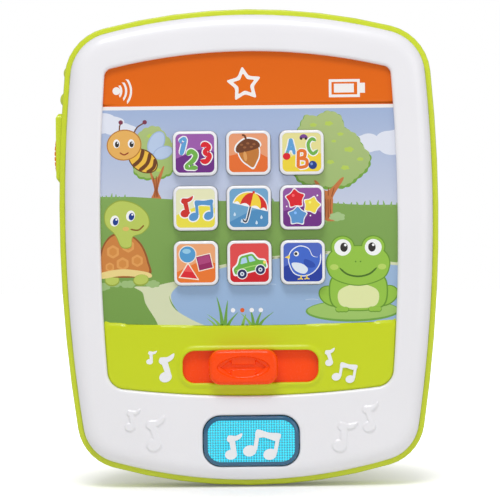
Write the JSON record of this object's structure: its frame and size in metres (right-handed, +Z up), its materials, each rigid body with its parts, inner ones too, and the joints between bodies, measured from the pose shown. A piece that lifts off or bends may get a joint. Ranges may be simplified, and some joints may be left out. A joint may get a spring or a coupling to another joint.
{
  "type": "toy tablet",
  "caption": "Toddler music tablet with raised picture keys, a sliding knob, a light-up button, an edge power switch and a battery compartment in its back.",
  "frame": {"origin": "centre of the flat back face, at mid height and mid width", "axes": "-Y out of the face, towards the viewer; +Z up the tablet to its top edge; +X to the viewer's right"},
  "size_m": [0.1743, 0.0327, 0.216],
  "materials": {
    "lime_case": "glossy moulded",
    "white_case": "glossy moulded",
    "lime_panel": "glossy moulded",
    "printed_sheet": "printed and laminated",
    "orange_knob": "glossy moulded",
    "key_white": "glossy moulded",
    "white_inner": "moulded",
    "black_inner": "moulded",
    "cyan_lens": "translucent, prismatic",
    "led_clear": "clear epoxy",
    "silicone": "matt moulded",
    "circuit_board": "solder mask",
    "black_epoxy": "potted",
    "component_grey": "moulded",
    "speaker_paper": "pressed",
    "plated_steel": "zinc plated",
    "magnet_grey": "ground",
    "contact_brass": "stamped",
    "spring_steel": "nickel plated",
    "screw_steel": "zinc plated",
    "wire_red": "satin insulation",
    "cell_jacket": "printed jacket",
    "label_numbers": "printed and laminated",
    "label_acorn": "printed and laminated",
    "label_letters": "printed and laminated",
    "label_music": "printed and laminated",
    "label_umbrella": "printed and laminated",
    "label_stars": "printed and laminated",
    "label_shapes": "printed and laminated",
    "label_car": "printed and laminated",
    "label_bird": "printed and laminated"
  },
  "bodies": {
    "case": {"rear_shell": "lime_case", "front_bezel": "white_case", "control_deck": "lime_panel", "screen_sheet": "printed_sheet", "slider_guide": "white_inner", "slider_board": "circuit_board", "light_reflector": "white_inner", "light_board": "circuit_board", "light_leds": "led_clear", "light_domes": "silicone", "keypad_membrane": "silicone", "main_board": "circuit_board", "board_chip": "black_epoxy", "board_components": "component_grey", "speaker_basket": "plated_steel", "speaker_cone": "speaker_paper", "speaker_magnet": "magnet_grey", "battery_top": "cell_jacket", "battery_middle": "cell_jacket", "battery_bottom": "cell_jacket", "battery_springs": "spring_steel", "battery_plates": "spring_steel", "switch_body": "plated_steel", "case_screws": "screw_steel", "deck_screws": "screw_steel", "board_screws": "screw_steel", "guide_screws": "screw_steel", "speaker_screws": "screw_steel", "battery_wires": "wire_red", "speaker_wires": "wire_red", "light_wires": "wire_red", "slider_wires": "wire_red", "switch_wires": "wire_red"},
    "slider": {"slider_knob": "orange_knob", "slider_carriage": "orange_knob", "slider_wiper": "contact_brass", "knob_screws": "screw_steel"},
    "light_button": {"light_lens": "cyan_lens"},
    "power_switch": {"switch_knob": "orange_knob", "switch_actuator": "black_inner"},
    "battery_cover": {"battery_door": "lime_case", "door_screws": "screw_steel"},
    "button_numbers": {"key_numbers": "key_white", "label_numbers": "label_numbers"},
    "button_acorn": {"key_acorn": "key_white", "label_acorn": "label_acorn"},
    "button_letters": {"key_letters": "key_white", "label_letters": "label_letters"},
    "button_music": {"key_music": "key_white", "label_music": "label_music"},
    "button_umbrella": {"key_umbrella": "key_white", "label_umbrella": "label_umbrella"},
    "button_stars": {"key_stars": "key_white", "label_stars": "label_stars"},
    "button_shapes": {"key_shapes": "key_white", "label_shapes": "label_shapes"},
    "button_car": {"key_car": "key_white", "label_car": "label_car"},
    "button_bird": {"key_bird": "key_white", "label_bird": "label_bird"}
  },
  "joints": [
    {"name": "press_numbers", "type": "slide", "parent": "case", "child": "button_numbers", "axis": [0, 1, 0], "range_m": [0, 0.0012], "stiffness_N_per_m": 600, "deforming": ["keypad_membrane"]},
    {"name": "press_acorn", "type": "slide", "parent": "case", "child": "button_acorn", "axis": [0, 1, 0], "range_m": [0, 0.0012], "stiffness_N_per_m": 600, "deforming": ["keypad_membrane"]},
    {"name": "press_letters", "type": "slide", "parent": "case", "child": "button_letters", "axis": [0, 1, 0], "range_m": [0, 0.0012], "stiffness_N_per_m": 600, "deforming": ["keypad_membrane"]},
    {"name": "press_music", "type": "slide", "parent": "case", "child": "button_music", "axis": [0, 1, 0], "range_m": [0, 0.0012], "stiffness_N_per_m": 600, "deforming": ["keypad_membrane"]},
    {"name": "press_umbrella", "type": "slide", "parent": "case", "child": "button_umbrella", "axis": [0, 1, 0], "range_m": [0, 0.0012], "stiffness_N_per_m": 600, "deforming": ["keypad_membrane"]},
    {"name": "press_stars", "type": "slide", "parent": "case", "child": "button_stars", "axis": [0, 1, 0], "range_m": [0, 0.0012], "stiffness_N_per_m": 600, "deforming": ["keypad_membrane"]},
    {"name": "press_shapes", "type": "slide", "parent": "case", "child": "button_shapes", "axis": [0, 1, 0], "range_m": [0, 0.0012], "stiffness_N_per_m": 600, "deforming": ["keypad_membrane"]},
    {"name": "press_car", "type": "slide", "parent": "case", "child": "button_car", "axis": [0, 1, 0], "range_m": [0, 0.0012], "stiffness_N_per_m": 600, "deforming": ["keypad_membrane"]},
    {"name": "press_bird", "type": "slide", "parent": "case", "child": "button_bird", "axis": [0, 1, 0], "range_m": [0, 0.0012], "stiffness_N_per_m": 600, "deforming": ["keypad_membrane"]},
    {"name": "press_light", "type": "slide", "parent": "case", "child": "light_button", "axis": [0, 1, 0], "range_m": [0, 0.0015], "stiffness_N_per_m": 700, "deforming": ["light_domes"]},
    {"name": "slide_music", "type": "slide", "parent": "case", "child": "slider", "axis": [1, 0, 0], "range_m": [-0.0113, 0.0177]},
    {"name": "slide_power", "type": "slide", "parent": "case", "child": "power_switch", "axis": [0, 0, 1], "range_m": [0, 0.0074]},
    {"name": "lift_battery_cover", "type": "slide", "parent": "case", "child": "battery_cover", "axis": [0, 1, 0], "range_m": [0, 0.02]}
  ]
}
